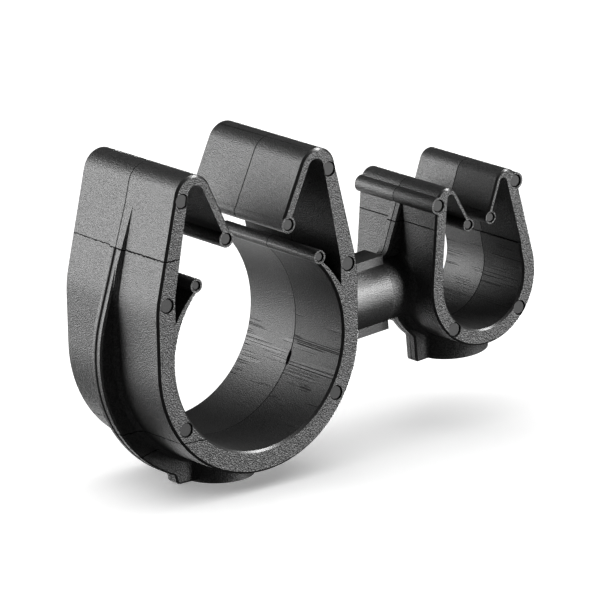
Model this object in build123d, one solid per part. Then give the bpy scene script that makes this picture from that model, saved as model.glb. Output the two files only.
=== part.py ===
from build123d import *
from math import atan2, cos, degrees, hypot, radians, sin, tan
import os

# Double clip for two round conduits, moulded in one piece of black polyamide.
# A large spring clip and a small one stand side by side, joined by a round keyed stem.
# Millimetres. The origin is the middle of the large bore. X runs from the large clip to the
# small one, Y along the conduits, and Z up to the open mouths.

# Large clip: ring
large_bore = 28.0
large_width = 20.6
large_side_wall = 2.85
large_floor_wall = 3.1

# Large clip: arms that rise from the ring, lean in, fold over and come back down as legs
large_shoulder = 8.5
large_arm_lean = 13.4
large_arm_wall = 2.95
large_inner_shoulder = 9.5
large_arm_inner_lean = 10.8
large_pocket_floor = 6.0
large_fold_radius = 3.0
large_crotch_radius = 1.27
large_leg_lean = 25.0
large_leg_wall = 1.25
large_leg_tip_height = 16.1
large_leg_tip_spacing = 10.4
large_leg_bead = 2.3
large_leg_bead_proud = 0.05

# Large clip: thin fingers that carry the bore on above the pocket floor
finger_tip_angle = 46.0
finger_tip_wall = 0.6
finger_bead = 1.9
finger_bead_proud = 0.08

# Small clip: ring, with a narrow ledge where each inner wall steps out
small_bore = 14.0
small_width = 16.8
small_side_wall = 2.2
small_floor_wall = 2.25
small_ledge_height = 3.4
small_ledge_wall_lean = 5.5
small_ledge_width = 0.35

# Small clip: arms, folds, legs and the round bump outside each fold
small_arm_lean = 9.7
small_arm_inner_lean = 10.2
small_fold_radius = 1.9
small_crotch_radius = 0.63
small_leg_lean = 24.5
small_leg_wall = 0.62
small_leg_tip_height = 8.45
small_leg_tip_spacing = 3.95
small_leg_bead = 1.8
small_leg_bead_proud = 0.25
small_bump = 2.4
small_bump_height = 12.45
small_bump_spacing = 13.7

# Flat rib in the middle plane of both clips, and the foot below each ring
rib_thickness = 2.2
rib_root_flare = 0.6
rib_edge_chamfer = 0.25
large_rib_height = 2.75
large_rib_lean = 17.5
small_rib_height = 1.45
small_rib_lean = 20.0
large_foot_drop = 2.5
large_foot_length = 15.4
large_foot_radius = 0.8
small_foot_drop = 2.4
small_foot_length = 14.4
small_foot_radius = 0.45
foot_boss = 10.1
foot_corner_radius = 0.8

# Stem between the clips, with a key along its top and bottom; the small clip leans up on it
clip_spacing = 40.3
clip_rise = 1.4
clip_tilt = 4.5
stem_diameter = 9.0
stem_offset = 0.2
stem_root_radius = 0.9
key_width = 3.9
key_height = 0.8
key_gap = 3.0

# Gusset from the top of the stem up the wall of the small clip
gusset_lean = 25.0
gusset_radius = 2.3

# Moulding details: broken edges and the recesses left by ejector pins
edge_chamfer = 0.3
small_edge_chamfer = 0.25
bend_radius = 14.0
pin_diameter = 2.1
pin_depth = 0.4
pin_shift = 0.2
bead_pin_rim = 0.28
small_bead_pin_rim = 0.18
fold_pin_drop = 3.2
side_pin_height = 8.85
floor_pin_angle = 34.5
small_floor_pin_angle = 44.3

# Derived sizes
large_radius = large_bore / 2
large_outer = large_radius + large_side_wall
large_centre = large_side_wall - large_floor_wall
large_rib_radius = large_outer + large_rib_height
large_foot = large_centre - large_outer - large_foot_drop
small_radius = small_bore / 2
small_outer = small_radius + small_side_wall
small_centre = small_side_wall - small_floor_wall
small_rib_radius = small_outer + small_rib_height
small_foot = small_centre - small_outer - small_foot_drop
stem_radius = stem_diameter / 2
weld = 0.3
root_depth = 1.0
far = 4 * large_bore
small_place = Pos(clip_spacing, 0, clip_rise) * Rot(0, -clip_tilt, 0)
stem_place = small_place * Pos(0, 0, stem_offset)
stem_end = clip_spacing - large_outer + large_side_wall / 2


def leaning(x, z, lean, height):
    # where a line through x, z that leans in towards the middle stands at a height
    return x - tan(radians(lean)) * (height - z)


def crossing(outer_x, outer_z, outer_lean, inner_x, inner_z, inner_lean):
    # point where a line leaning in meets a line leaning out
    outer_slope = tan(radians(outer_lean))
    inner_slope = tan(radians(inner_lean))
    height = (outer_x - inner_x + outer_slope * outer_z + inner_slope * inner_z) / (outer_slope + inner_slope)
    return leaning(outer_x, outer_z, outer_lean, height), height


def polar(radius, angle, centre=0.0):
    # point on a circle about the bore, or about a ring centre just below it
    return radius * cos(radians(angle)), centre + radius * sin(radians(angle))


def rounded(sketch, corners):
    # round each named corner of a flat outline
    for point, radius in corners:
        sketch = fillet(sketch.vertices().sort_by_distance((*point, 0))[0], radius)
    return sketch


def below(centre, lean):
    # everything under the two rays that leave the ring centre and rise at an angle
    rise = centre + far * tan(radians(lean))
    return make_face(Polyline((0, centre), (far, rise), (far, -far), (-far, -far), (-far, rise), close=True))


def both_sides(shape):
    return shape + mirror(shape, about=Plane.YZ)


def prism(sketch, width):
    # give a flat XZ outline its width, half to each side of the middle plane
    return extrude(Plane.XZ * sketch, amount=width / 2, both=True)


def broken_prism(sketch, width, size):
    # prism with the whole rim of both end faces broken
    solid = prism(sketch, width)
    rims = solid.faces().sort_by(Axis.Y)[0].edges() + solid.faces().sort_by(Axis.Y)[-1].edges()
    return chamfer(rims, size)


def mouth_face(tip_spacing, bead, bead_proud, leg_lean):
    # where the face of a leg towards the mouth stands at the height of the bead on its tip
    return tip_spacing / 2 - (bead / 2 - bead_proud) / cos(radians(leg_lean))


# Large clip
large_mouth = mouth_face(large_leg_tip_spacing, large_leg_bead, large_leg_bead_proud, large_leg_lean)
large_leg_inner = large_mouth + large_leg_wall / cos(radians(large_leg_lean))
large_fold = crossing(large_outer, large_shoulder, large_arm_lean,
                      large_mouth, large_leg_tip_height, large_leg_lean)
large_inner = large_outer - large_arm_wall
large_crotch = crossing(large_inner, large_inner_shoulder, large_arm_inner_lean,
                        large_leg_inner, large_leg_tip_height, large_leg_lean)
finger_bead_place = polar(large_radius + finger_bead / 2 - finger_bead_proud, finger_tip_angle)


def large_outline():
    # section of the ring, arms, folds and legs, with the pockets still filled
    half = make_face(Polyline(
        (0, large_centre),
        (large_outer, large_centre),
        (large_outer, large_shoulder),
        large_fold,
        (large_mouth, large_leg_tip_height),
        polar(large_radius, finger_tip_angle),
        close=True))
    half = rounded(half, [(large_fold, large_fold_radius), ((large_outer, large_shoulder), bend_radius)])
    ring = Pos(0, large_centre) * Circle(large_outer) & below(large_centre, 0)
    return both_sides(half) + ring - Circle(large_radius)


def large_pocket():
    # space between leg, arm and finger; its lower side leaves the finger, which thins towards its tip
    root_radius = hypot(large_inner, large_pocket_floor)
    root_angle = degrees(atan2(large_pocket_floor, large_inner))
    tip_radius = large_radius + finger_tip_wall
    root = polar(root_radius, root_angle)
    tip = polar(tip_radius, finger_tip_angle)
    bore_point = polar(large_radius - weld, finger_tip_angle)
    finger_back = ThreePointArc(
        root, polar((root_radius + tip_radius) / 2, (root_angle + finger_tip_angle) / 2), tip)
    sides = Polyline(tip, bore_point, (0, bore_point[1]), (0, large_leg_tip_height),
                     (large_leg_inner, large_leg_tip_height), large_crotch,
                     (large_inner, large_inner_shoulder), root)
    return rounded(make_face([finger_back, *sides.edges()]), [
        (large_crotch, large_crotch_radius),
        ((large_inner, large_inner_shoulder), bend_radius / 2)])


def large_clip():
    beads = (Pos(large_leg_tip_spacing / 2, large_leg_tip_height) * Circle(large_leg_bead / 2)
             + Pos(*finger_bead_place) * Circle(finger_bead / 2))
    solid = broken_prism(large_outline(), large_width, edge_chamfer)
    return solid - prism(both_sides(large_pocket()), 2 * large_width) + prism(both_sides(beads), large_width)


# Small clip
small_mouth = mouth_face(small_leg_tip_spacing, small_leg_bead, small_leg_bead_proud, small_leg_lean)
small_leg_inner = small_mouth + small_leg_wall / cos(radians(small_leg_lean))
small_tangent = polar(small_outer, small_arm_lean, small_centre)
small_fold = crossing(*small_tangent, small_arm_lean, small_mouth, small_leg_tip_height, small_leg_lean)
small_ledge = leaning(small_radius, 0, small_ledge_wall_lean, small_ledge_height)
small_crotch = crossing(small_ledge + small_ledge_width, small_ledge_height, small_arm_inner_lean,
                        small_leg_inner, small_leg_tip_height, small_leg_lean)


def small_outline():
    half = make_face(Polyline(
        (0, small_centre),
        small_tangent,
        small_fold,
        (small_mouth, small_leg_tip_height),
        (small_ledge, small_ledge_height),
        (small_radius, 0),
        close=True))
    half = rounded(half, [(small_fold, small_fold_radius)])
    ring = Pos(0, small_centre) * Circle(small_outer) & below(small_centre, small_arm_lean)
    bore = Circle(small_radius) & Pos(0, small_ledge_height) * Rectangle(far, far, align=(Align.CENTER, Align.MAX))
    return both_sides(half) + ring - bore


def small_pocket():
    sides = make_face(Polyline(
        (0, small_ledge_height),
        (small_ledge + small_ledge_width, small_ledge_height),
        small_crotch,
        (small_leg_inner, small_leg_tip_height),
        (0, small_leg_tip_height),
        close=True))
    return rounded(sides, [(small_crotch, small_crotch_radius)])


def small_clip():
    rods = (Pos(small_leg_tip_spacing / 2, small_leg_tip_height) * Circle(small_leg_bead / 2)
            + Pos(small_bump_spacing / 2, small_bump_height) * Circle(small_bump / 2))
    solid = broken_prism(small_outline(), small_width, small_edge_chamfer)
    return solid - prism(both_sides(small_pocket()), 2 * small_width) + prism(both_sides(rods), small_width)


# Rib and foot
def rib_outline(radius, centre, lean, wall_x, wall_z, wall_lean, bottom, foot_length, foot_radius):
    # round the ring up to a tangent that runs into the leaning arm, cut flat at the foot
    tangent = polar(radius, lean, centre)
    steps = tan(radians(lean)) - tan(radians(wall_lean))
    meet_z = wall_z + (leaning(*tangent, lean, wall_z) - wall_x) / steps
    meet_x = leaning(wall_x, wall_z, wall_lean, meet_z)
    side = make_face(Polyline((0, centre), tangent, (meet_x, meet_z), (meet_x - root_depth, meet_z),
                              (wall_x - root_depth, wall_z), close=True))
    band = both_sides(side) + (Pos(0, centre) * Circle(radius) & below(centre, lean))
    plate = Pos(0, bottom / 2) * Rectangle(foot_length, -bottom)
    outline = (band + plate) & Pos(0, bottom) * Rectangle(far, far, align=(Align.CENTER, Align.MIN))
    end = foot_length / 2
    shoulder = centre - (radius ** 2 - end ** 2) ** 0.5
    return rounded(outline, [((sx * end, z), foot_radius) for sx in (-1, 1) for z in (bottom, shoulder)])


def gusset_outline():
    # web on the stem side of the small clip, from under its bump to the top of the stem
    gusset_top = small_bump_height
    wall_x = leaning(*small_tangent, small_arm_lean, gusset_top)
    floor_z = stem_offset + (stem_radius ** 2 - (rib_thickness / 2) ** 2) ** 0.5
    corner = (-leaning(wall_x, gusset_top, gusset_lean, floor_z), floor_z)
    web = make_face(Polyline(
        (weld - wall_x, gusset_top),
        (-wall_x, gusset_top),
        corner,
        (corner[0] - gusset_radius, floor_z),
        (corner[0] - gusset_radius, stem_offset),
        (-small_radius - weld, stem_offset),
        (-small_radius - weld, floor_z),
        close=True))
    return rounded(web, [(corner, gusset_radius)])


def root_flare(outer, centre, wall):
    # sloping flare at the root of the rib, swept round the ring and up the outside of one arm
    base = centre - outer
    half = rib_thickness / 2
    crest = base - rib_root_flare
    foot_half = half + rib_root_flare
    profile = make_face(Polyline((half, crest), (-half, crest), (-foot_half, base), (-foot_half, base + weld),
                                 (foot_half, base + weld), (foot_half, base), close=True))
    ring = RadiusArc((0, base), wall @ 0, -outer)
    return sweep(Plane.YZ * profile, path=Plane.XZ * Wire([*ring.edges(), *wall.edges()]))


def rib(outline, flares, core, width, centre, outer, wall_x, wall_z, wall_lean):
    # flat rib broken along its free edges, its flares trimmed to its outline, and the bore kept clear
    def free(edge):
        point = edge @ 0.5
        if point.Z > wall_z:
            clear = abs(point.X) > leaning(wall_x, wall_z, wall_lean, point.Z)
        else:
            clear = hypot(point.X, point.Z - centre) > outer
        return clear and abs(abs(point.Y) - rib_thickness / 2) < 0.001

    flat = prism(outline, rib_thickness)
    flat = chamfer(flat.edges().filter_by(free), rib_edge_chamfer)
    return flat + (flares & prism(outline, width)) - prism(Circle(core), width)


def foot(bottom):
    # round boss with filled corners between it and the plate; they start above the broken edge of the plate
    plan = Circle(foot_boss / 2) + Rectangle(foot_boss + 3 * foot_corner_radius, rib_thickness)
    corner_x = (foot_boss ** 2 - rib_thickness ** 2) ** 0.5 / 2
    corners = [((sx * corner_x, sy * rib_thickness / 2), foot_corner_radius) for sx in (-1, 1) for sy in (-1, 1)]
    web_bottom = bottom + rib_edge_chamfer
    webs = Pos(0, 0, web_bottom) * extrude(rounded(plan, corners), amount=-web_bottom)
    return webs + Pos(0, 0, bottom) * extrude(Circle(foot_boss / 2), amount=-bottom)


def large_rib():
    outline = rib_outline(large_rib_radius, large_centre, large_rib_lean,
                          large_outer, large_shoulder, large_arm_lean,
                          large_foot, large_foot_length, large_foot_radius)
    top = (leaning(large_outer, large_shoulder, large_arm_lean, large_fold[1]), large_fold[1])
    wall = FilletPolyline((large_outer, large_centre), (large_outer, large_shoulder), top, radius=bend_radius)
    flares = both_sides(root_flare(large_outer, large_centre, wall))
    return rib(outline, flares, large_radius + weld, large_width,
               large_centre, large_outer, large_outer, large_shoulder, large_arm_lean)


def small_rib():
    outline = rib_outline(small_rib_radius, small_centre, small_rib_lean,
                          *small_tangent, small_arm_lean,
                          small_foot, small_foot_length, small_foot_radius) + gusset_outline()
    wall = Polyline(small_tangent, small_fold)
    right = root_flare(small_outer, small_centre, wall)
    under_stem = Pos(0, 0, stem_offset) * Box(far, far, far, align=(Align.CENTER, Align.CENTER, Align.MAX))
    flares = right + (mirror(right, about=Plane.YZ) & under_stem)
    return rib(outline, flares, small_radius + weld, small_width,
               small_centre, small_outer, *small_tangent, small_arm_lean)


# Stem
def rod_between(place, start, end, radius):
    # round bar that runs along -X of a placed frame
    return place * Pos(-start, 0, 0) * Rot(0, -90, 0) * Cylinder(
        radius, end - start, align=(Align.CENTER, Align.CENTER, Align.MIN))


def on_stem(edge):
    # edges that run round the stem, where it meets a ring
    point = (stem_place.inverse() * Pos(edge @ 0.5)).position
    return edge.geom_type != GeomType.LINE and abs(hypot(point.Y, point.Z) - stem_radius) < 0.01


def keys():
    # one bar through the stem that stands out of its top and bottom
    start = small_outer + key_gap
    return stem_place * Pos(-start, 0, 0) * Box(
        stem_end - start, key_width, stem_diameter + 2 * key_height, align=(Align.MAX, Align.CENTER, Align.CENTER))


# Ejector pin recesses in the front faces
def recesses(marks, width):
    discs = Sketch() + [Pos(*place) * Circle(diameter / 2) for place, diameter in marks]
    return Pos(0, -width / 2, 0) * extrude(Plane.XZ * both_sides(discs), amount=-pin_depth)


def large_recesses():
    high = large_outline().bounding_box().max.Y - fold_pin_drop
    outer = leaning(large_outer, large_shoulder, large_arm_lean, high)
    inner = leaning(large_inner, large_inner_shoulder, large_arm_inner_lean, high)
    side = large_outer - large_arm_wall / 2 - pin_shift
    floor_radius = large_radius + large_side_wall / 2 - pin_shift / 2
    return recesses([
        (((outer + inner) / 2 - pin_shift, high), pin_diameter),
        ((side, side_pin_height), pin_diameter),
        (polar(floor_radius, -floor_pin_angle), pin_diameter),
        ((large_leg_tip_spacing / 2, large_leg_tip_height), large_leg_bead - 2 * bead_pin_rim),
        (finger_bead_place, finger_bead - 2 * bead_pin_rim)], large_width)


def small_recesses():
    floor_radius = small_radius + small_side_wall / 2
    return recesses([
        (polar(floor_radius, -small_floor_pin_angle), pin_diameter),
        ((small_bump_spacing / 2, small_bump_height), small_bump - 2 * bead_pin_rim),
        ((small_leg_tip_spacing / 2, small_leg_tip_height), small_leg_bead - 2 * small_bead_pin_rim)], small_width)


def double_clip():
    large = large_clip()
    small = small_place * small_clip()
    stem = rod_between(stem_place, small_radius + weld, stem_end, stem_radius)
    body = large + small + stem
    body = fillet(body.edges().filter_by(on_stem), stem_root_radius)
    body += keys()
    body += large_rib() + foot(large_foot) - prism(Circle(large_radius + weld), large_width)
    body += small_place * (small_rib() + foot(small_foot) - prism(Circle(small_radius + weld), small_width))
    return body - large_recesses() - small_place * small_recesses()


clip = double_clip()
os.makedirs("parts", exist_ok=True)
export_step(clip, "parts/double_clip.step")
print("double clip:", round(clip.volume), "mm3,", len(clip.solids()), "solid, box", clip.bounding_box().size)
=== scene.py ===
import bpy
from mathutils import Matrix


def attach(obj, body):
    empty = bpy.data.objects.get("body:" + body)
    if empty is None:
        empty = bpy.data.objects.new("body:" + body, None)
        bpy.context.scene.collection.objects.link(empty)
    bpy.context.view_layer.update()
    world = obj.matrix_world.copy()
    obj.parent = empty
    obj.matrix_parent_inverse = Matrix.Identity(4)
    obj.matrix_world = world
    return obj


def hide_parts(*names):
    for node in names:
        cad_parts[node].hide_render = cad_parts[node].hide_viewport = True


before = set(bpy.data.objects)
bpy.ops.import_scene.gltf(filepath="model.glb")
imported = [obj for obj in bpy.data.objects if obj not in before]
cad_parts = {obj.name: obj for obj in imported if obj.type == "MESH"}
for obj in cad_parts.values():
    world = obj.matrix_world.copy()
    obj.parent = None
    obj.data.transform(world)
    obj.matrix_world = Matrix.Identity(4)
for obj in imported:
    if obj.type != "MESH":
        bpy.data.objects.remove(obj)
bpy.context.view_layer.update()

import math
import bmesh
import bpy
import numpy as np
from mathutils import Matrix, Vector

# Double cable clip in black moulded polyamide. Blender works in metres and the settings are in millimetres,
# so the number 1000 in the code turns one into the other.


def linear(hexColour):
    # sRGB hex to linear: the low part divides by 12.92, the rest is the 2.4 power curve
    parts = [int(hexColour[i:i + 2], 16) / 255 for i in (1, 3, 5)]
    return [p / 12.92 if p <= 0.04045 else ((p + 0.055) / 1.055) ** 2.4 for p in parts] + [1.0]


def addNode(tree, kind, inputs=(), output=0, **settings):
    # one node with its settings; an input given as a socket is linked, anything else is set as its value
    node = tree.nodes.new("ShaderNode" + kind)
    for name, value in settings.items():
        setattr(node, name, value)
    for name, value in (inputs.items() if isinstance(inputs, dict) else enumerate(inputs)):
        if isinstance(value, bpy.types.NodeSocket):
            tree.links.new(value, node.inputs[name])
        else:
            node.inputs[name].default_value = value
    return node.outputs[output] if node.outputs else node


def newMaterial(name):
    material = bpy.data.materials.new(name)
    material.use_nodes = True
    material.node_tree.nodes.clear()
    return material, material.node_tree


# Camera: fitted to the photograph, a long lens seen from the left and a little above
cameraSettings = {
    "yaw": 37.74, "pitch": 15.98, "roll": -1.36,    # degrees
    "focalPixels": 6018.0, "imagePixels": 600.0,    # focal length and image width, both in pixels
    "sensor": 36.0,                                 # mm
    "clipNear": 0.01, "clipFar": 20.0,              # m
    "distance": 807.8,                              # mm along the view to the middle of the large bore
    "borePixel": (213.6, 332.8)}                    # where that point stands in the picture


def addCamera(s):
    # the view is turned by yaw, dipped by pitch and rolled about itself; the lens stands back from the middle
    # of the bore by the distance, and aside by as much as the bore's pixel is off the middle of the picture
    yaw, pitch, roll = (math.radians(s[k]) for k in ("yaw", "pitch", "roll"))
    ahead = Vector((math.sin(yaw) * math.cos(pitch), math.cos(yaw) * math.cos(pitch), -math.sin(pitch)))
    level = Vector((math.cos(yaw), -math.sin(yaw), 0))
    upright = level.cross(ahead)
    right = math.cos(roll) * level + math.sin(roll) * upright
    up = -math.sin(roll) * level + math.cos(roll) * upright
    offX = (s["borePixel"][0] - s["imagePixels"] / 2) / s["focalPixels"] * s["distance"]
    offY = -(s["borePixel"][1] - s["imagePixels"] / 2) / s["focalPixels"] * s["distance"]
    place = -(ahead * s["distance"] + right * offX + up * offY) / 1000
    data = bpy.data.cameras.new("camera")
    data.sensor_width = s["sensor"]
    data.lens = s["focalPixels"] / s["imagePixels"] * s["sensor"]
    data.clip_start, data.clip_end = s["clipNear"], s["clipFar"]
    camera = bpy.data.objects.new("camera", data)
    bpy.context.scene.collection.objects.link(camera)
    camera.matrix_world = Matrix(((right.x, up.x, -ahead.x, place.x), (right.y, up.y, -ahead.y, place.y),
                                  (right.z, up.z, -ahead.z, place.z), (0, 0, 0, 1)))
    bpy.context.scene.camera = camera


addCamera(cameraSettings)
print("camera done")

# Floor and light: a white light table with soft boxes round it, in front of a white room
stageSettings = {
    "floorHeight": -19.6, "floorGap": 0.1,          # mm, height of the feet, and the table's depth under them
    "floorSize": 6000.0,                            # mm
    "floorColour": "#F4F4F4", "floorRoughness": 0.7, "floorSheen": 0.1,
    "floorGrain": 900.0, "floorDetail": 2.0,        # noise cells to the metre, and finer octaves of it
    "floorBump": 0.02, "floorBumpDepth": 0.1,       # strength, and mm
    "glowColour": "#FFFFFF",
    "floorGlow": 0.36, "farGlow": 1.05,             # how strongly the table glows, near and far
    "farGlowFrom": 0.45, "farGlowTo": 1.1,          # m from the clip, where the far glow starts and is full
    "worldColour": "#FFFFFF", "worldStrength": 0.03,
    "gamma": 0.8,                                   # the photograph is printed hard, with deep blacks
    "aimX": 16.0}                                   # mm along X to the point that the soft boxes face

softBoxes = {
    # direction from the object, distance, width, height in mm, power in W
    "boxLeftLow": ((-0.86, 0.50, -0.07), 600, 220, 280, 0.8),
    "boxLeftHigh": ((-0.80, 0.57, 0.36), 600, 420, 220, 6.6),
    "boxBackLeft": ((-0.60, 0.78, -0.10), 600, 420, 280, 2.9),
    "boxBackLow": ((0.12, 0.78, -0.62), 600, 240, 240, 0.75),
    "boxBackHigh": ((-0.48, 0.74, 0.46), 600, 260, 260, 0.6),
    "boxBackRight": ((0.66, 0.72, -0.22), 600, 240, 240, 3.0),
    "boxFrontHigh": ((0.55, -0.77, 0.44), 650, 180, 260, 11.2),
    "boxFrontLow": ((0.57, -0.77, -0.05), 650, 200, 200, 4.0),
    "boxEdge": ((0.59, -0.27, 0.75), 650, 220, 140, 4.6),
    "boxTop": ((-0.10, 0.12, 0.98), 600, 1500, 1500, 11.0)}     # the only one that lights the table

clipOnly = bpy.data.collections.new("clipOnly")
tableOnly = bpy.data.collections.new("tableOnly")


def lightTable(s):
    material, tree = newMaterial("opal light table")
    grain = addNode(tree, "TexNoise", {"Scale": s["floorGrain"], "Detail": s["floorDetail"]})
    bump = addNode(tree, "Bump", {
        "Strength": s["floorBump"], "Distance": s["floorBumpDepth"] / 1000, "Height": grain})
    # the table glows more far from the clip, where the top light doesn't reach
    place = addNode(tree, "TexCoord", output="Object")
    distance = addNode(tree, "VectorMath", (place,), output="Value", operation="LENGTH")
    glow = addNode(tree, "MapRange", {
        "Value": distance, "From Min": s["farGlowFrom"], "From Max": s["farGlowTo"],
        "To Min": s["floorGlow"], "To Max": s["farGlow"]})
    shader = addNode(tree, "BsdfPrincipled", {
        "Base Color": linear(s["floorColour"]), "Roughness": s["floorRoughness"],
        "Specular IOR Level": s["floorSheen"], "Normal": bump,
        "Emission Color": linear(s["glowColour"]), "Emission Strength": glow})
    addNode(tree, "OutputMaterial", {"Surface": shader})
    return material


def addFloor(s):
    half = s["floorSize"] / 2000
    z = (s["floorHeight"] - s["floorGap"]) / 1000
    mesh = bpy.data.meshes.new("floor")
    corners = [(-half, -half, z), (half, -half, z), (half, half, z), (-half, half, z)]
    mesh.from_pydata(corners, [], [(0, 1, 2, 3)])
    mesh.materials.append(lightTable(s))
    floor = bpy.data.objects.new("floor", mesh)
    bpy.context.scene.collection.objects.link(floor)
    floor.visible_glossy = False    # the undersides of the clip stay dark, as in the photograph
    tableOnly.objects.link(floor)


def addSoftBox(name, aimX, direction, distance, width, height, power):
    # rectangular light that faces the object
    data = bpy.data.lights.new(name, "AREA")
    data.shape = "RECTANGLE"
    data.size, data.size_y, data.energy = width / 1000, height / 1000, power
    light = bpy.data.objects.new(name, data)
    bpy.context.scene.collection.objects.link(light)
    away = Vector(direction).normalized()
    light.location = Vector((aimX / 1000, 0, 0)) + away * distance / 1000
    light.rotation_euler = away.to_track_quat("Z", "Y").to_euler()
    light.visible_camera = False
    # light linking keeps the top box off the clip, and the other boxes off the table
    forTable = name == "boxTop"
    light.light_linking.receiver_collection = tableOnly if forTable else clipOnly
    if not forTable:
        light.light_linking.blocker_collection = clipOnly


def addWorld(s):
    # the room is white where it is seen, and gives the clip only a little light
    world = bpy.data.worlds.new("studio")
    world.use_nodes = True
    tree = world.node_tree
    tree.nodes.clear()
    seen = addNode(tree, "LightPath", output="Is Camera Ray")
    strength = addNode(tree, "Math", (seen, 1 - s["worldStrength"], s["worldStrength"]),
                       operation="MULTIPLY_ADD")
    background = addNode(tree, "Background", {"Color": linear(s["worldColour"]), "Strength": strength})
    addNode(tree, "OutputWorld", {"Surface": background})
    bpy.context.scene.world = world
    bpy.context.scene.view_settings.view_transform = "Standard"
    bpy.context.scene.view_settings.gamma = s["gamma"]


addWorld(stageSettings)
addFloor(stageSettings)
for boxName, boxValues in softBoxes.items():
    addSoftBox(boxName, stageSettings["aimX"], *boxValues)
print("stage done")

# Moulded polyamide, glass filled: dull black with a little sheen.
# Spark-eroded mould faces leave a coarse grain on the flat ends and a sandy one on the walls,
# and the polished cores leave the bores plain, with scuffs along them from conduits.
# Each triangle has the number of its zone, or 0 on every other wall.
zoneNumbers = {"endFace": 1, "pinFloor": 2, "bore": 3, "pinRing": 4, "rim": 5, "pocket": 6}
noiseMiddle = 0.5                                   # noise values lie about this one
noHeight = -50.0                                    # stands in where a point has no height of its own

mouldedSettings = {
    # lineColour is near black: painted shade in the grooves of lines and pin outlines, and wear in scuffs
    "colour": "#101010", "paleColour": "#1A1A1A", "lineColour": "#020202",
    # painted highlight on the high tips of the sand on the walls
    "sandTipLight": "#303030",
    "grainHollowShade": "#0A0A0A", "grainTipLight": "#3C3C3C",     # painted shade in the hollows and painted highlight on the tips of the spark grain
    "ior": 1.53, "roughness": 0.50, "boreRoughness": 0.56, "stemRoughness": 0.45, "rimRoughness": 0.35,
    "scuffRoughness": 0.9, "frontCoreRougher": 0.10, "rubbedSmoother": 0.06,
    # specular level, and the share of it that each place loses; in lines, pockets and front halves the loss
    # is painted shade
    "sheen": 0.5, "lineShade": 0.95, "scuffDuller": 0.5, "pocketShade": 0.66, "pinDuller": 0.35,
    "frontBoreShade": 0.34, "smallFrontShade": 0.30, "smallCoreShade": 0.50,
    "stemMiddle": 22.5, "stemHalf": 5.0,            # mm along X, the bare part of the stem
    # grain: cell and depth in mm, the sand of the walls about twice too wide so that it shows
    "endGrain": 0.18, "endGrainDepth": 0.17, "endGrainSharpness": 0.6,
    "wallGrain": 0.15, "wallGrainDepth": 0.06,
    "patchScale": 0.12,                             # clouds of paler plastic to the mm
    # noise values where the pale colour starts and is full
    "sandRange": (0.35, 0.65), "tipRange": (0.38, 0.64),
    "rimPlain": 0.8, "boreLessSand": 0.35, "stemLessSand": 0.5,     # share of the sand that each place loses
    # scuffs: straight lines along a bore, in rubbed patches
    "scuffWidth": 0.085, "scuffDepth": 0.03,        # mm
    # noise cells to the mm, and noise values where the pattern starts and is full
    "scuffDrift": 0.04, "scuffRange": (0.57, 0.69), "scuffDark": 0.7,
    "rubAcross": 0.75, "rubAlong": 0.15, "rubRange": (0.52, 0.60),
    "scuffPlace": 15.8, "scuffReach": 11.0,         # mm round the large bore from its lowest point
    # added to the noise of the patches: at that place, past its reach, and on the small clip
    "scuffMore": 0.06, "scuffFewer": -0.16, "smallScuffMore": 0.02,
    "frontSeed": 7.3,                               # gives the front halves other scuffs than the back ones
    # lines where mould inserts of the large clip met, fine grooves painted near black as their shade: height
    # in mm at x = 0, and slope
    "insertLines": ((14.8, 0.0), (-10.6, 0.0), (-11.49, 0.222)),
    "lineHalf": 0.10, "lineDepth": 0.06,            # mm, half width and depth
    "lineEnd": -9.3,                                # mm along X, they stay left of it
    "lineWander": 0.6, "tearSize": 0.45, "tearDepth": 0.35,     # mm
    "tornWidth": 0.8, "frontTornMore": 0.5,         # times the line's half width
    "smallLineHeight": 9.2,                         # mm up the left arm of the small clip
    "middleHalf": 0.10, "crestHalf": 0.45, "ribHalf": 1.3,      # mm off the middle plane
    "nickHalf": (0.45, 1.6), "nickRange": (0.1, 0.4),   # mm, and where its edge starts and is full
    "pinLine": 0.9}                                 # darkness of the outline round each pin, painted shade in the corner of its recess


def nearLine(tree, value, halfWidth):
    # 1 on the line where the value is zero, falling smoothly to 0 at half its width
    away = addNode(tree, "Math", (value,), operation="ABSOLUTE")
    return addNode(tree, "MapRange", {"Value": away, "From Max": halfWidth, "To Min": 1.0, "To Max": 0.0},
                   interpolation_type="SMOOTHSTEP")


def readPlaces(tree, s):
    # where a point lies: millimetres in the object's frame, its zone, and the way round its bore;
    # COMPARE gives 1 where two numbers differ by no more than the third
    place = addNode(tree, "TexCoord", output="Object")
    at = {"mm": addNode(tree, "VectorMath", {"Vector": place, "Scale": 1000.0}, operation="SCALE")}
    for name, axis in (("x", "X"), ("y", "Y"), ("z", "Z")):
        at[name] = addNode(tree, "SeparateXYZ", (at["mm"],), output=axis)
    zone = addNode(tree, "Attribute", output="Fac", attribute_name="zone")
    for name, number in zoneNumbers.items():
        at[name] = addNode(tree, "Math", (zone, float(number), 0.5), operation="COMPARE")
    wrap = addNode(tree, "Attribute", output="Vector", attribute_name="wrap")
    for name, axis in (("arc", "X"), ("isSmall", "Y"), ("smallHeight", "Z")):
        at[name] = addNode(tree, "SeparateXYZ", (wrap,), output=axis)
    at["front"] = addNode(tree, "Math", (at["y"], 0.0), operation="LESS_THAN")  # moulded by another core; the walls there also take painted shade
    at["onStem"] = addNode(tree, "Math", (at["x"], s["stemMiddle"], s["stemHalf"]), operation="COMPARE")
    return at


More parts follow.
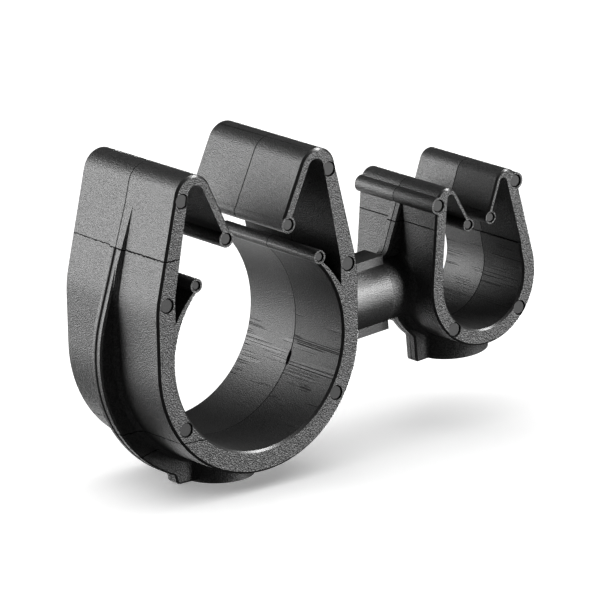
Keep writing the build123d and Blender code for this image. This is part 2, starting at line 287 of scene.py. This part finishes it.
def addGrain(tree, at, s):
    # noise, coarse on the ends and fine on the walls, with less of it in the bores and on the stem
    coarse = addNode(tree, "TexNoise", {
        "Vector": at["mm"], "Scale": 1 / s["endGrain"], "Detail": 1.0, "Roughness": s["endGrainSharpness"]})
    fine = addNode(tree, "TexNoise", {"Vector": at["mm"], "Scale": 1 / s["wallGrain"], "Detail": 0.0})
    plain = addNode(tree, "Math", (at["endFace"], at["pinFloor"]), operation="ADD")
    plain = addNode(tree, "Math", (at["rim"], s["rimPlain"], plain), operation="MULTIPLY_ADD")
    offEnds = addNode(tree, "Math", (1.0, plain), operation="SUBTRACT", use_clamp=True)
    boreShare = addNode(tree, "Math", (at["bore"], -s["boreLessSand"], 1.0), operation="MULTIPLY_ADD")
    stemShare = addNode(tree, "Math", (at["onStem"], -s["stemLessSand"], 1.0), operation="MULTIPLY_ADD")
    wallShare = addNode(tree, "Math", (offEnds, boreShare), operation="MULTIPLY")
    wallShare = addNode(tree, "Math", (wallShare, stemShare), operation="MULTIPLY")
    endLift = addNode(tree, "Math", (coarse, at["endFace"]), operation="MULTIPLY")
    endLift = addNode(tree, "Math", (endLift, s["endGrainDepth"] / 1000), operation="MULTIPLY")
    lift = addNode(tree, "Math", (fine, wallShare), operation="MULTIPLY")
    lift = addNode(tree, "Math", (lift, s["wallGrainDepth"] / 1000, endLift), operation="MULTIPLY_ADD")
    patches = addNode(tree, "TexNoise", {"Vector": at["mm"], "Scale": s["patchScale"], "Detail": 2.0})
    return {"coarse": coarse, "fine": fine, "offEnds": offEnds, "wallShare": wallShare, "lift": lift,
            "patches": patches}


def addScuffs(tree, at, s):
    # scuffs are a noise over the way round the bore, and only in rubbed patches, a slower noise that is
    # raised where the way round is near the scuffed place
    seed = addNode(tree, "Math", (at["front"], s["frontSeed"], at["isSmall"]), operation="MULTIPLY_ADD")
    across = addNode(tree, "Math", (at["arc"], s["scuffWidth"]), operation="DIVIDE")
    along = addNode(tree, "Math", (at["y"], s["scuffDrift"]), operation="MULTIPLY")
    thin = addNode(tree, "TexNoise", {
        "Vector": addNode(tree, "CombineXYZ", (across, along, seed)), "Scale": 1.0, "Detail": 0.0})
    thin = addNode(tree, "MapRange", {
        "Value": thin, "From Min": s["scuffRange"][0], "From Max": s["scuffRange"][1]},
        interpolation_type="SMOOTHSTEP")

    across = addNode(tree, "Math", (at["arc"], s["rubAcross"]), operation="MULTIPLY")
    along = addNode(tree, "Math", (at["y"], s["rubAlong"]), operation="MULTIPLY")
    rubbed = addNode(tree, "TexNoise", {
        "Vector": addNode(tree, "CombineXYZ", (across, along, seed)), "Scale": 1.0, "Detail": 1.0})
    offPlace = addNode(tree, "Math", (at["arc"], s["scuffPlace"]), operation="SUBTRACT")
    offPlace = addNode(tree, "Math", (offPlace,), operation="ABSOLUTE")
    more = addNode(tree, "MapRange", {
        "Value": offPlace, "From Max": s["scuffReach"], "To Min": s["scuffMore"], "To Max": s["scuffFewer"]})
    # inputs 0, 2 and 3 of a Mix of numbers are its factor and the two numbers
    more = addNode(tree, "Mix", {0: at["isSmall"], 2: more, 3: s["smallScuffMore"]})
    rubbed = addNode(tree, "Math", (rubbed, more), operation="ADD")
    rubbed = addNode(tree, "MapRange", {
        "Value": rubbed, "From Min": s["rubRange"][0], "From Max": s["rubRange"][1]},
        interpolation_type="SMOOTHSTEP")
    rubbed = addNode(tree, "Math", (rubbed, at["bore"]), operation="MULTIPLY")
    return addNode(tree, "Math", (thin, rubbed), operation="MULTIPLY"), rubbed


def addInsertLines(tree, at, patches, s):
    # the pins' outlines, and lines at the heights where inserts met, on the left wall alone: these wander
    # slowly, are torn and are wider on the front half; a sloping one shows on the rib only. All are fine
    # grooves whose dark is painted shade
    wander = addNode(tree, "Math", (patches, noiseMiddle), operation="SUBTRACT")
    wander = addNode(tree, "Math", (wander, s["lineWander"]), operation="MULTIPLY")
    torn = addNode(tree, "TexNoise", {"Vector": at["mm"], "Scale": 1 / s["tearSize"], "Detail": 1.0})
    tear = addNode(tree, "Math", (torn, noiseMiddle), operation="SUBTRACT")
    wander = addNode(tree, "Math", (tear, s["tearDepth"], wander), operation="MULTIPLY_ADD")
    width = addNode(tree, "Math", (at["front"], s["frontTornMore"], s["tornWidth"]),
                    operation="MULTIPLY_ADD")
    width = addNode(tree, "Math", (torn, width), operation="MULTIPLY")
    width = addNode(tree, "Math", (width, s["lineHalf"] / noiseMiddle), operation="MULTIPLY")
    leftWall = addNode(tree, "Math", (at["x"], s["lineEnd"]), operation="LESS_THAN")
    onRib = addNode(tree, "Math", (at["y"], 0.0, s["ribHalf"]), operation="COMPARE")
    onRib = addNode(tree, "Math", (onRib, leftWall), operation="MULTIPLY")
    line = addNode(tree, "Math", (at["pinRing"], s["pinLine"]), operation="MULTIPLY")
    for height, slope in s["insertLines"]:
        above = addNode(tree, "Math", (at["z"], height), operation="SUBTRACT")
        above = addNode(tree, "Math", (above, wander), operation="ADD")
        above = addNode(tree, "Math", (at["x"], -slope, above), operation="MULTIPLY_ADD")
        level = addNode(tree, "Math", (nearLine(tree, above, width), onRib if slope else leftWall),
                        operation="MULTIPLY")
        line = addNode(tree, "Math", (line, level), operation="MAXIMUM")
    return line, onRib


def addMouldLines(tree, at, grain, s):
    # thin grooves, dark with painted shade: the inserts' lines and the pins' outlines, the small clip's line,
    # the parting line in the middle plane, and the nick where that line is torn in the large bore
    line, onRib = addInsertLines(tree, at, grain["patches"], s)
    above = addNode(tree, "Math", (at["smallHeight"], s["smallLineHeight"]), operation="SUBTRACT")
    level = addNode(tree, "Math", (nearLine(tree, above, s["lineHalf"]), grain["wallShare"]),
                    operation="MULTIPLY")
    line = addNode(tree, "Math", (line, level), operation="MAXIMUM")

    # the parting line is wide open along the crest of the left rib, below the highest insert, and else tight
    crest = addNode(tree, "Math", (at["z"], s["insertLines"][0][0]), operation="LESS_THAN")
    crest = addNode(tree, "Math", (onRib, crest), operation="MULTIPLY")
    middle = addNode(tree, "Math", (nearLine(tree, at["y"], s["crestHalf"]), crest), operation="MULTIPLY")
    middle = addNode(tree, "Math", (nearLine(tree, at["y"], s["middleHalf"]), middle), operation="MAXIMUM")
    offStem = addNode(tree, "Math", (1.0, at["onStem"]), operation="SUBTRACT")
    middle = addNode(tree, "Math", (middle, offStem), operation="MULTIPLY")
    line = addNode(tree, "Math", (line, middle), operation="MAXIMUM")

    offNick = addNode(tree, "Math", (at["arc"], s["scuffPlace"]), operation="SUBTRACT")
    nick = (nearLine(tree, at["y"], s["nickHalf"][0]), nearLine(tree, offNick, s["nickHalf"][1]))
    nick = addNode(tree, "Math", nick, operation="MULTIPLY")
    nick = addNode(tree, "Math", (nick, at["bore"]), operation="MULTIPLY")
    nick = addNode(tree, "MapRange", {
        "Value": nick, "From Min": s["nickRange"][0], "From Max": s["nickRange"][1]})
    return addNode(tree, "Math", (line, nick), operation="MAXIMUM")


def addColour(tree, at, grain, dark, s):
    # clouded black, with painted highlight on the tips of the wall sand, painted highlight and shade on the
    # tips and hollows of the end grain, and near black as painted shade in the grooves of lines and as wear
    # in scuffs
    colour = addNode(tree, "Mix", {
        "Factor": grain["patches"], "A": linear(s["colour"]), "B": linear(s["paleColour"])},
        output="Result", data_type="RGBA")
    sand = addNode(tree, "MapRange", {
        "Value": grain["fine"], "From Min": s["sandRange"][0], "From Max": s["sandRange"][1]})
    sand = addNode(tree, "Math", (sand, grain["wallShare"]), operation="MULTIPLY")
    colour = addNode(tree, "Mix", {"Factor": sand, "A": colour, "B": linear(s["sandTipLight"])},
                     output="Result", data_type="RGBA")
    tips = addNode(tree, "MapRange", {
        "Value": grain["coarse"], "From Min": s["tipRange"][0], "From Max": s["tipRange"][1]})
    speckle = addNode(tree, "Mix", {
        "Factor": tips, "A": linear(s["grainHollowShade"]), "B": linear(s["grainTipLight"])},
        output="Result", data_type="RGBA")
    colour = addNode(tree, "Mix", {"Factor": at["endFace"], "A": colour, "B": speckle},
                     output="Result", data_type="RGBA")
    return addNode(tree, "Mix", {"Factor": dark, "A": colour, "B": linear(s["lineColour"])},
                   output="Result", data_type="RGBA")


def addRoughness(tree, at, rubbed, dark, smallCore, s):
    # rougher bores, a smoother stem and rims, a little shine on rubbed places, and dull lines and scuffs
    rough = addNode(tree, "Mix", {0: at["bore"], 2: s["roughness"], 3: s["boreRoughness"]})
    rough = addNode(tree, "Math", (rubbed, -s["rubbedSmoother"], rough), operation="MULTIPLY_ADD")
    rough = addNode(tree, "Math", (at["onStem"], s["stemRoughness"] - s["roughness"], rough),
                    operation="MULTIPLY_ADD")
    rough = addNode(tree, "Math", (smallCore, s["frontCoreRougher"], rough), operation="MULTIPLY_ADD")
    rough = addNode(tree, "Mix", {0: at["rim"], 2: rough, 3: s["rimRoughness"]})
    return addNode(tree, "Mix", {0: dark, 2: rough, 3: s["scuffRoughness"]})


def addSheen(tree, duller, s):
    # each place takes a share of the sheen, and where places overlap the largest share counts
    most = None
    for place, amount in duller:
        share = addNode(tree, "Math", (place, s[amount]), operation="MULTIPLY")
        most = share if most is None else addNode(tree, "Math", (most, share), operation="MAXIMUM")
    left = addNode(tree, "Math", (1.0, most), operation="SUBTRACT", use_clamp=True)
    return addNode(tree, "Math", (left, s["sheen"]), operation="MULTIPLY")


def mouldedPolyamide(s):
    material, tree = newMaterial("moulded polyamide")
    at = readPlaces(tree, s)
    grain = addGrain(tree, at, s)
    scuff, rubbed = addScuffs(tree, at, s)
    line = addMouldLines(tree, at, grain, s)
    # dark: wear in the scuffs, and painted shade in the grooves of the lines, pin outlines and nick
    dark = addNode(tree, "Math", (scuff, s["scuffDark"]), operation="MULTIPLY")
    dark = addNode(tree, "Math", (dark, line), operation="MAXIMUM")

    # the walls of the front halves lose sheen as painted shadow, where the lights from the back left are cut
    # off: the bores, the small clip, and most of all what lies right of its left arm, which alone has a
    # height
    frontBore = addNode(tree, "Math", (at["bore"], at["front"]), operation="MULTIPLY")
    smallFront = addNode(tree, "Math", (grain["offEnds"], at["isSmall"]), operation="MULTIPLY")
    smallFront = addNode(tree, "Math", (smallFront, at["front"]), operation="MULTIPLY")
    offArm = addNode(tree, "Math", (at["smallHeight"], noHeight + 10), operation="LESS_THAN")
    smallCore = addNode(tree, "Math", (smallFront, offArm), operation="MULTIPLY")

    lift = addNode(tree, "Math", (line, -s["lineDepth"] / 1000, grain["lift"]), operation="MULTIPLY_ADD")
    lift = addNode(tree, "Math", (scuff, -s["scuffDepth"] / 1000, lift), operation="MULTIPLY_ADD")
    # lost sheen is painted shade in lines, pockets and front halves, and wear in scuffs; pin floors lose some
    # too
    sheen = addSheen(tree, (
        (line, "lineShade"), (scuff, "scuffDuller"), (frontBore, "frontBoreShade"),
        (smallCore, "smallCoreShade"), (smallFront, "smallFrontShade"), (at["pocket"], "pocketShade"),
        (at["pinFloor"], "pinDuller")), s)
    shader = addNode(tree, "BsdfPrincipled", {
        "Base Color": addColour(tree, at, grain, dark, s),
        "Roughness": addRoughness(tree, at, rubbed, dark, smallCore, s),
        "IOR": s["ior"], "Specular IOR Level": sheen,
        "Normal": addNode(tree, "Bump", {"Strength": 1.0, "Distance": 1.0, "Height": lift})})
    addNode(tree, "OutputMaterial", {"Surface": shader})
    return material


polyamide = mouldedPolyamide(mouldedSettings)
print("material done")

# The moulding: a merged copy of the imported clip, shaded smooth but sharp where its faces turn by more than
# a limit
mouldingSettings = {
    "mergeSteps": 1e7,                              # steps to the metre, and points on one step merge
    "largeWidth": 20.6, "smallWidth": 16.8,         # mm along Y
    "betweenClips": 28.0,                           # mm along X
    "largeRadius": 14.0, "smallRadius": 7.0, "boreSlack": 0.06,     # mm
    "clipSpacing": 40.3, "clipRise": 1.4,           # mm along X and Z, from the large bore to the small one
    "clipTilt": 4.5,                                # degrees
    "recessDepth": 0.4, "floorDepth": 0.22,         # mm, the pins' recesses as packed and as drawn
    "depthSlack": 0.05, "pinRing": 0.16,            # mm
    "pinFacing": 0.99, "endFacing": 0.95,           # least Y of a unit normal on a pin's floor, on an end
    "rimWidth": 0.28, "rimFacing": 0.3,             # mm, and the same for a broken rim
    "smallBoreLow": -7.1, "smallBoreTop": 3.4, "smallBoreReach": 7.3,   # mm from the small bore's middle
    "pocketMiddle": 9.4, "pocketFloor": 3.0,        # mm along X between leg and arm, mm along Z
    "fingerReach": 15.4, "armReach": 14.4,          # mm from the large bore's middle
    "pocketFacing": 0.3,                            # least X of a unit normal on a pocket's wall
    "leftArm": -5.0,                                # mm along X of the small clip, its left arm lies past it
    "sharpAngle": 28.0}                             # degrees


def pointsOf(mesh):
    # the place of each point, one row each
    points = np.zeros(len(mesh.vertices) * 3)
    mesh.vertices.foreach_get("co", points)
    return points.reshape(-1, 3)


def cornersOf(mesh):
    # the three points of each triangle
    corners = np.zeros(len(mesh.loops), np.int64)
    mesh.loops.foreach_get("vertex_index", corners)
    return corners.reshape(-1, 3)


def normalsOf(triangles):
    # the cross product of two sides, over its own length
    normal = np.cross(triangles[:, 1] - triangles[:, 0], triangles[:, 2] - triangles[:, 0])
    return normal / np.maximum(np.linalg.norm(normal, axis=1, keepdims=True), 1e-12)


def widthAt(places, s):
    # the width along Y of the clip that each place belongs to
    return np.where(places[:, 0] > s["betweenClips"], s["smallWidth"], s["largeWidth"])


def atPinFloor(places, normal, facing, s):
    # floors face along Y and lie a recess deep under the end face of their clip
    depth = widthAt(places, s) / 2 - np.abs(places[:, 1])
    return (np.abs(normal[:, 1]) > facing) & (np.abs(depth - s["recessDepth"]) < s["depthSlack"])


def onSmallClip(places, s):
    # X and Z in the leaning frame of the small clip: less its middle, then turned back by its tilt
    tilt = math.radians(s["clipTilt"])
    away = places - np.array([s["clipSpacing"], 0, s["clipRise"]])
    return (away[:, 0] * math.cos(tilt) + away[:, 2] * math.sin(tilt),
            -away[:, 0] * math.sin(tilt) + away[:, 2] * math.cos(tilt))


def mergedClip(source, s):
    # points that share a place become one, and a triangle that loses a side by it is left out
    points = pointsOf(source)
    source.calc_loop_triangles()
    corners = np.zeros(len(source.loop_triangles) * 3, np.int64)
    source.loop_triangles.foreach_get("vertices", corners)
    steps = np.round(points * s["mergeSteps"]).astype(np.int64)
    _, first, back = np.unique(steps, axis=0, return_index=True, return_inverse=True)
    faces = back.reshape(-1)[corners].reshape(-1, 3)
    one, two, three = faces.T
    faces = faces[(one != two) & (two != three) & (three != one)]
    mesh = bpy.data.meshes.new("clipMoulding")
    mesh.from_pydata(points[first].tolist(), [], faces.tolist())
    mesh.update()
    return mesh


def ringPinFloors(mesh, s):
    # a narrow ring runs round the floor of each pin recess, where the pin left its outline; the material
    # paints it dark as shade in the corner of the recess
    triangles = pointsOf(mesh)[cornersOf(mesh)] * 1000
    isPin = atPinFloor(triangles.mean(axis=1), normalsOf(triangles), s["pinFacing"], s)
    work = bmesh.new()
    work.from_mesh(mesh)
    mark = work.faces.layers.float.new("zone")
    work.faces.ensure_lookup_table()
    ring = bmesh.ops.inset_region(work, faces=[work.faces[k] for k in np.flatnonzero(isPin)],
                                  thickness=s["pinRing"] / 1000, use_even_offset=True)["faces"]
    for face in ring:
        face[mark] = zoneNumbers["pinRing"]
    bmesh.ops.triangulate(work, faces=work.faces)
    work.to_mesh(mesh)
    work.free()


def zonesOf(centre, normal, marked, s):
    # the zone of each triangle, from where its centre lies and where it faces; what comes later wins,
    # apart from the pockets, which take only plain walls
    isSmall = centre[:, 0] > s["betweenClips"]
    isFacing = np.abs(normal[:, 1]) > s["endFacing"]
    depth = widthAt(centre, s) / 2 - np.abs(centre[:, 1])
    spread = np.hypot(centre[:, 0], centre[:, 2])
    smallX, smallZ = onSmallClip(centre, s)
    zone = np.zeros(len(centre), np.float32)
    zone[isFacing & (depth < s["depthSlack"])] = zoneNumbers["endFace"]
    zone[atPinFloor(centre, normal, s["endFacing"], s)] = zoneNumbers["pinFloor"]

    largeWall = np.abs(spread - s["largeRadius"]) < s["boreSlack"]
    zone[largeWall & ~isSmall & ~isFacing] = zoneNumbers["bore"]
    smallWall = np.abs(smallX) < s["smallRadius"] + s["boreSlack"]
    smallWall &= (smallZ < s["smallBoreTop"]) & (smallZ > s["smallBoreLow"])
    smallWall &= np.hypot(smallX, smallZ) < s["smallBoreReach"]
    zone[smallWall & isSmall & ~isFacing] = zoneNumbers["bore"]
    isRim = (depth < s["rimWidth"]) & ~isFacing & (np.abs(normal[:, 1]) > s["rimFacing"])
    zone[isRim] = zoneNumbers["rim"]

    # pockets of the large clip: the outward side of leg and finger, and the inward side of the arm; the
    # material takes sheen off them as painted shade
    aside = np.abs(centre[:, 0])
    outward = normal[:, 0] * np.sign(centre[:, 0])
    legSide = (outward > s["pocketFacing"]) & ((aside < s["pocketMiddle"]) | (spread < s["fingerReach"]))
    armSide = (outward < -s["pocketFacing"]) & (aside > s["pocketMiddle"]) & (spread > s["armReach"])
    high = centre[:, 2] > s["pocketFloor"]
    zone[(legSide | armSide) & (zone == 0) & ~isSmall & high] = zoneNumbers["pocket"]
    zone[marked == zoneNumbers["pinRing"]] = zoneNumbers["pinRing"]
    return zone


def raisePinFloors(places, faces, zone, s):
    # the floors of the pin recesses are drawn up to the depth that the photograph shows
    onFloor = (zone == zoneNumbers["pinFloor"]) | (zone == zoneNumbers["pinRing"])
    moved = np.unique(faces[onFloor])
    half = widthAt(places[moved] * 1000, s) / 2
    places[moved, 1] = np.sign(places[moved, 1]) * (half - s["floorDepth"]) / 1000


def wrapOf(places, s):
    # three numbers for each point: the way round its bore from the lowest point, which is the angle times
    # the radius, then 1 on the small clip, then the height on the left arm of that clip
    isSmall = places[:, 0] > s["betweenClips"]
    smallX, smallZ = onSmallClip(places, s)
    arc = np.where(isSmall, np.arctan2(smallX, -smallZ) * s["smallRadius"],
                   np.arctan2(places[:, 0], -places[:, 2]) * s["largeRadius"])
    height = np.where(isSmall & (smallX < s["leftArm"]), smallZ, noHeight)
    return np.stack([arc, isSmall, height], axis=1).astype(np.float32)


def markSharpEdges(mesh, faces, normal, s):
    # an edge is sharp where its two faces turn by more than the limit; once the triangles' sides are
    # sorted by their two points, the two sides on one edge stand next to each other
    count = len(mesh.vertices)
    sides = np.sort(faces[:, [0, 1, 1, 2, 2, 0]].reshape(-1, 2), axis=1)
    keys = sides[:, 0] * count + sides[:, 1]
    order = np.argsort(keys, kind="stable")
    sortedKeys = keys[order]
    isTwin = sortedKeys[:-1] == sortedKeys[1:]
    one, two = order[:-1][isTwin] // 3, order[1:][isTwin] // 3
    turn = np.degrees(np.arccos(np.clip((normal[one] * normal[two]).sum(axis=1), -1, 1)))
    sharpKeys = sortedKeys[:-1][isTwin][turn > s["sharpAngle"]]
    ends = np.zeros(len(mesh.edges) * 2, np.int64)
    mesh.edges.foreach_get("vertices", ends)
    ends = np.sort(ends.reshape(-1, 2), axis=1)
    isSharp = np.isin(ends[:, 0] * count + ends[:, 1], sharpKeys)
    mesh.shade_smooth()
    mesh.attributes.new("sharp_edge", "BOOLEAN", "EDGE").data.foreach_set("value", isSharp)


def makeMoulding(s):
    mesh = mergedClip(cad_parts["double_clip"].data, s)
    ringPinFloors(mesh, s)
    places, faces = pointsOf(mesh), cornersOf(mesh)
    triangles = places[faces] * 1000
    normal = normalsOf(triangles)
    marked = np.zeros(len(faces), np.float32)
    mesh.attributes["zone"].data.foreach_get("value", marked)
    zone = zonesOf(triangles.mean(axis=1), normal, marked, s)
    raisePinFloors(places, faces, zone, s)
    mesh.vertices.foreach_set("co", places.ravel())
    mesh.attributes["zone"].data.foreach_set("value", zone)
    wrap = mesh.attributes.new("wrap", "FLOAT_VECTOR", "POINT")
    wrap.data.foreach_set("vector", wrapOf(places * 1000, s).ravel())
    markSharpEdges(mesh, faces, normal, s)
    mesh.materials.append(polyamide)

    piece = bpy.data.objects.new("clipMoulding", mesh)
    bpy.context.scene.collection.objects.link(piece)
    even = piece.modifiers.new("even", "WEIGHTED_NORMAL")
    even.keep_sharp = True
    clipOnly.objects.link(piece)
    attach(piece, "root")
    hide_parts("double_clip")
    print("moulding", len(faces), "triangles, of them",
          {name: int((zone == number).sum()) for name, number in zoneNumbers.items()})


makeMoulding(mouldingSettings)
